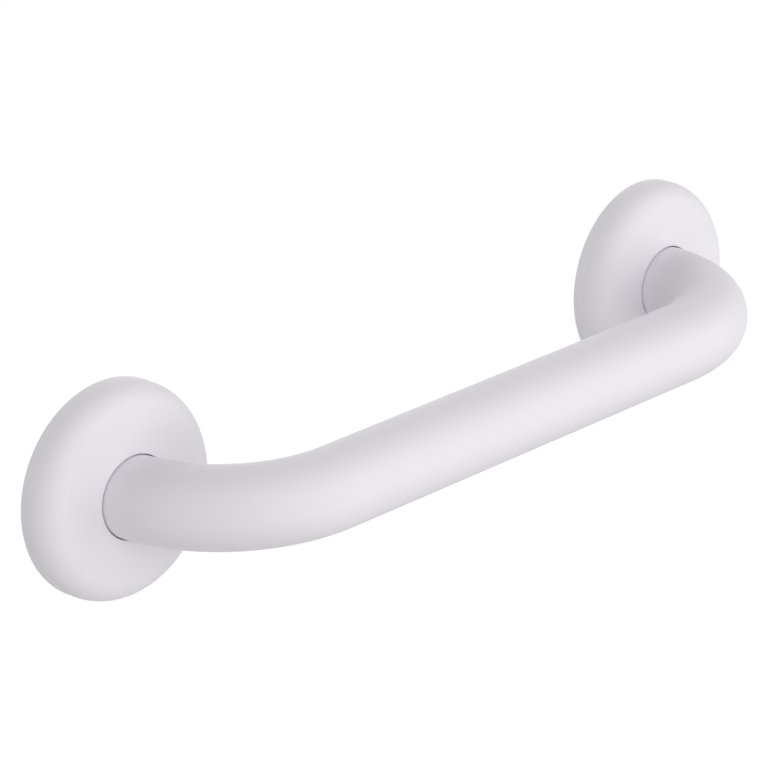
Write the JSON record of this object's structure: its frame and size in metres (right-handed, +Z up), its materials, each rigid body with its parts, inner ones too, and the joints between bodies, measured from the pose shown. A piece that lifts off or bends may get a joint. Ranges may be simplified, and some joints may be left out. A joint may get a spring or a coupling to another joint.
{
  "type": "grab bar",
  "caption": "White wall-mounted grab bar: a round steel rail bent back to the wall at each end, its screw flanges hidden under domed covers that slide off along the bends.",
  "frame": {"origin": "on the wall plane, midway between the centres of the two wall flanges", "axes": "+X along the bar, +Y into the wall, +Z up; the bar stands out from the wall along -Y"},
  "size_m": [0.3844, 0.0818, 0.0844],
  "materials": {
    "powder_coated_steel": "satin white powder coat",
    "moulded_white_plastic": "fine satin moulded surface"
  },
  "bodies": {
    "bar": {"grab_tube": "powder_coated_steel", "left_wall_flange": "powder_coated_steel", "right_wall_flange": "powder_coated_steel"},
    "left_cover": {"left_cover": "moulded_white_plastic"},
    "right_cover": {"right_cover": "moulded_white_plastic"}
  },
  "joints": [
    {"name": "left_cover_slide", "type": "hinge", "parent": "bar", "child": "left_cover", "pos_m": [-0.097, -0.0128, 0], "axis": [0, 0, 1], "range_deg": [0, 90]},
    {"name": "right_cover_slide", "type": "hinge", "parent": "bar", "child": "right_cover", "pos_m": [0.097, -0.0128, 0], "axis": [0, 0, -1], "range_deg": [0, 90]}
  ]
}
